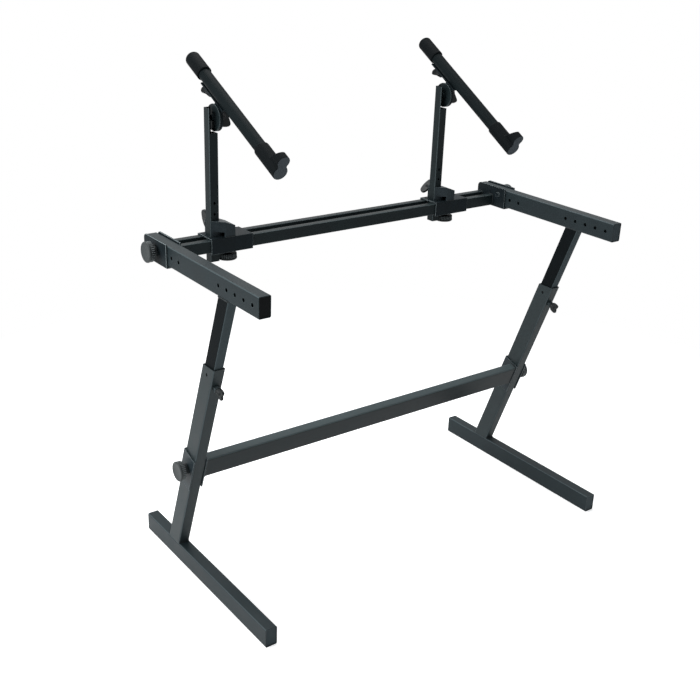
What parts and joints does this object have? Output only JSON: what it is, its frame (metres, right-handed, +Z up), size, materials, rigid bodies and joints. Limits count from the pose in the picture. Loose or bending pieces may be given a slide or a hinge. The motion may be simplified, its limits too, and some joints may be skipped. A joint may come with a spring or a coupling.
{
  "type": "keyboard stand",
  "caption": "Tiered Z keyboard stand: leaning telescopic legs and level arms on flat feet, a crossbar, and a rear rail frame with sliding posts and tilting rubber-ended upper arms.",
  "frame": {"origin": "on the floor, in the middle of the overall box", "axes": "+X to the player's right along the rails, +Y away from the player, +Z up"},
  "size_m": [0.9494, 0.5268, 1.0189],
  "materials": {
    "powder_coat": "satin black powder coat on steel",
    "moulded_plastic": "finely textured black moulding",
    "rubber": "matt black rubber"
  },
  "bodies": {
    "base": {"crossbar": "powder_coat", "left_foot": "powder_coat", "left_foot_plug_front": "moulded_plastic", "left_foot_plug_rear": "moulded_plastic", "left_outer_leg": "powder_coat", "left_guide_bush": "moulded_plastic", "left_lock_nut": "powder_coat", "left_crossbar_bracket": "powder_coat", "right_foot": "powder_coat", "right_foot_plug_front": "moulded_plastic", "right_foot_plug_rear": "moulded_plastic", "right_outer_leg": "powder_coat", "right_guide_bush": "moulded_plastic", "right_lock_nut": "powder_coat", "right_crossbar_bracket": "powder_coat"},
    "upper_frame": {"left_inner_leg": "powder_coat", "left_arm": "powder_coat", "left_arm_plug_front": "moulded_plastic", "left_arm_plug_rear": "moulded_plastic", "right_inner_leg": "powder_coat", "right_arm": "powder_coat", "right_arm_plug_front": "moulded_plastic", "right_arm_plug_rear": "moulded_plastic"},
    "rail_frame": {"front_rail": "powder_coat", "rear_rail": "powder_coat", "left_rail_clamp": "powder_coat", "right_rail_clamp": "powder_coat"},
    "left_saddle_unit": {"left_saddle": "powder_coat", "left_saddle_plate": "powder_coat", "left_upright_collar": "powder_coat"},
    "left_upright_unit": {"left_upright": "powder_coat", "left_tilt_disc": "powder_coat"},
    "left_carrier_unit": {"left_carrier": "powder_coat"},
    "left_upper_arm": {"left_tier_tube": "powder_coat", "left_rear_cap": "rubber", "left_front_sleeve": "rubber"},
    "left_crossbar_knob_turn": {"left_crossbar_knob": "moulded_plastic"},
    "left_clamp_knob_turn": {"left_clamp_knob": "moulded_plastic"},
    "left_saddle_knob_turn": {"left_saddle_knob": "moulded_plastic"},
    "left_height_screw_turn": {"left_height_screw": "moulded_plastic"},
    "left_upright_screw_turn": {"left_upright_screw": "moulded_plastic"},
    "left_tilt_nut_turn": {"left_tilt_nut": "moulded_plastic"},
    "left_slide_screw_turn": {"left_slide_screw": "moulded_plastic"},
    "right_saddle_unit": {"right_saddle": "powder_coat", "right_saddle_plate": "powder_coat", "right_upright_collar": "powder_coat"},
    "right_upright_unit": {"right_upright": "powder_coat", "right_tilt_disc": "powder_coat"},
    "right_carrier_unit": {"right_carrier": "powder_coat"},
    "right_upper_arm": {"right_tier_tube": "powder_coat", "right_rear_cap": "rubber", "right_front_sleeve": "rubber"},
    "right_crossbar_knob_turn": {"right_crossbar_knob": "moulded_plastic"},
    "right_clamp_knob_turn": {"right_clamp_knob": "moulded_plastic"},
    "right_saddle_knob_turn": {"right_saddle_knob": "moulded_plastic"},
    "right_height_screw_turn": {"right_height_screw": "moulded_plastic"},
    "right_upright_screw_turn": {"right_upright_screw": "moulded_plastic"},
    "right_tilt_nut_turn": {"right_tilt_nut": "moulded_plastic"},
    "right_slide_screw_turn": {"right_slide_screw": "moulded_plastic"}
  },
  "joints": [
    {"name": "height", "type": "slide", "parent": "base", "child": "upper_frame", "axis": [0, -0.3366, 0.9416], "range_m": [-0.09, 0.11]},
    {"name": "rail_depth", "type": "slide", "parent": "upper_frame", "child": "rail_frame", "axis": [0, 1, 0], "range_m": [-0.0849, 0.0283]},
    {"name": "left_saddle_slide", "type": "slide", "parent": "rail_frame", "child": "left_saddle_unit", "axis": [1, 0, 0], "range_m": [-0.08, 0.23]},
    {"name": "left_upright_lift", "type": "slide", "parent": "left_saddle_unit", "child": "left_upright_unit", "axis": [0, 0, 1], "range_m": [-0.044, 0.044]},
    {"name": "left_tilt", "type": "hinge", "parent": "left_upright_unit", "child": "left_carrier_unit", "pos_m": [-0.317, 0.15161, 0.901], "axis": [1, 0, 0], "range_deg": [-56.7, 58.3]},
    {"name": "left_arm_slide", "type": "slide", "parent": "left_carrier_unit", "child": "left_upper_arm", "axis": [0, 0.8934, 0.4493], "range_m": [-0.0075, 0.0045]},
    {"name": "left_crossbar_knob_spin", "type": "hinge", "parent": "base", "child": "left_crossbar_knob_turn", "pos_m": [-0.4375, 0.02759, 0.24354], "axis": [1, 0, 0], "continuous": true},
    {"name": "left_clamp_knob_spin", "type": "hinge", "parent": "rail_frame", "child": "left_clamp_knob_turn", "pos_m": [-0.4355, 0.13111, 0.6652], "axis": [1, 0, 0], "continuous": true},
    {"name": "left_saddle_knob_spin", "type": "hinge", "parent": "left_saddle_unit", "child": "left_saddle_knob_turn", "pos_m": [-0.285, 0.15161, 0.64], "axis": [0, 0, 1], "continuous": true},
    {"name": "left_height_screw_spin", "type": "hinge", "parent": "base", "child": "left_height_screw_turn", "pos_m": [-0.4375, -0.069, 0.45432], "axis": [0, -0.9416, -0.3366], "continuous": true},
    {"name": "left_upright_screw_spin", "type": "hinge", "parent": "left_saddle_unit", "child": "left_upright_screw_turn", "pos_m": [-0.317, 0.16661, 0.6967], "axis": [0, 1, 0], "continuous": true},
    {"name": "left_tilt_nut_spin", "type": "hinge", "parent": "left_upright_unit", "child": "left_tilt_nut_turn", "pos_m": [-0.302, 0.15161, 0.901], "axis": [1, 0, 0], "continuous": true},
    {"name": "left_slide_screw_spin", "type": "hinge", "parent": "left_upper_arm", "child": "left_slide_screw_turn", "pos_m": [-0.298, 0.19443, 0.9494], "axis": [0, -0.4493, 0.8934], "continuous": true},
    {"name": "right_saddle_slide", "type": "slide", "parent": "rail_frame", "child": "right_saddle_unit", "axis": [1, 0, 0], "range_m": [-0.23, 0.08]},
    {"name": "right_upright_lift", "type": "slide", "parent": "right_saddle_unit", "child": "right_upright_unit", "axis": [0, 0, 1], "range_m": [-0.048, 0.04]},
    {"name": "right_tilt", "type": "hinge", "parent": "right_upright_unit", "child": "right_carrier_unit", "pos_m": [0.259, 0.15161, 0.905], "axis": [1, 0, 0], "range_deg": [-60.6, 54.4]},
    {"name": "right_arm_slide", "type": "slide", "parent": "right_carrier_unit", "child": "right_upper_arm", "axis": [0, 0.8607, 0.509], "range_m": [-0.0015, 0.0105]},
    {"name": "right_crossbar_knob_spin", "type": "hinge", "parent": "base", "child": "right_crossbar_knob_turn", "pos_m": [0.4375, 0.02759, 0.24354], "axis": [1, 0, 0], "continuous": true},
    {"name": "right_clamp_knob_spin", "type": "hinge", "parent": "rail_frame", "child": "right_clamp_knob_turn", "pos_m": [0.4355, 0.13111, 0.6652], "axis": [1, 0, 0], "continuous": true},
    {"name": "right_saddle_knob_spin", "type": "hinge", "parent": "right_saddle_unit", "child": "right_saddle_knob_turn", "pos_m": [0.291, 0.15161, 0.64], "axis": [0, 0, 1], "continuous": true},
    {"name": "right_height_screw_spin", "type": "hinge", "parent": "base", "child": "right_height_screw_turn", "pos_m": [0.4375, -0.069, 0.45432], "axis": [0, -0.9416, -0.3366], "continuous": true},
    {"name": "right_upright_screw_spin", "type": "hinge", "parent": "right_saddle_unit", "child": "right_upright_screw_turn", "pos_m": [0.259, 0.16661, 0.6967], "axis": [0, 1, 0], "continuous": true},
    {"name": "right_tilt_nut_spin", "type": "hinge", "parent": "right_upright_unit", "child": "right_tilt_nut_turn", "pos_m": [0.274, 0.15161, 0.905], "axis": [1, 0, 0], "continuous": true},
    {"name": "right_slide_screw_spin", "type": "hinge", "parent": "right_upper_arm", "child": "right_slide_screw_turn", "pos_m": [0.278, 0.18587, 0.95315], "axis": [0, -0.509, 0.8607], "continuous": true}
  ]
}
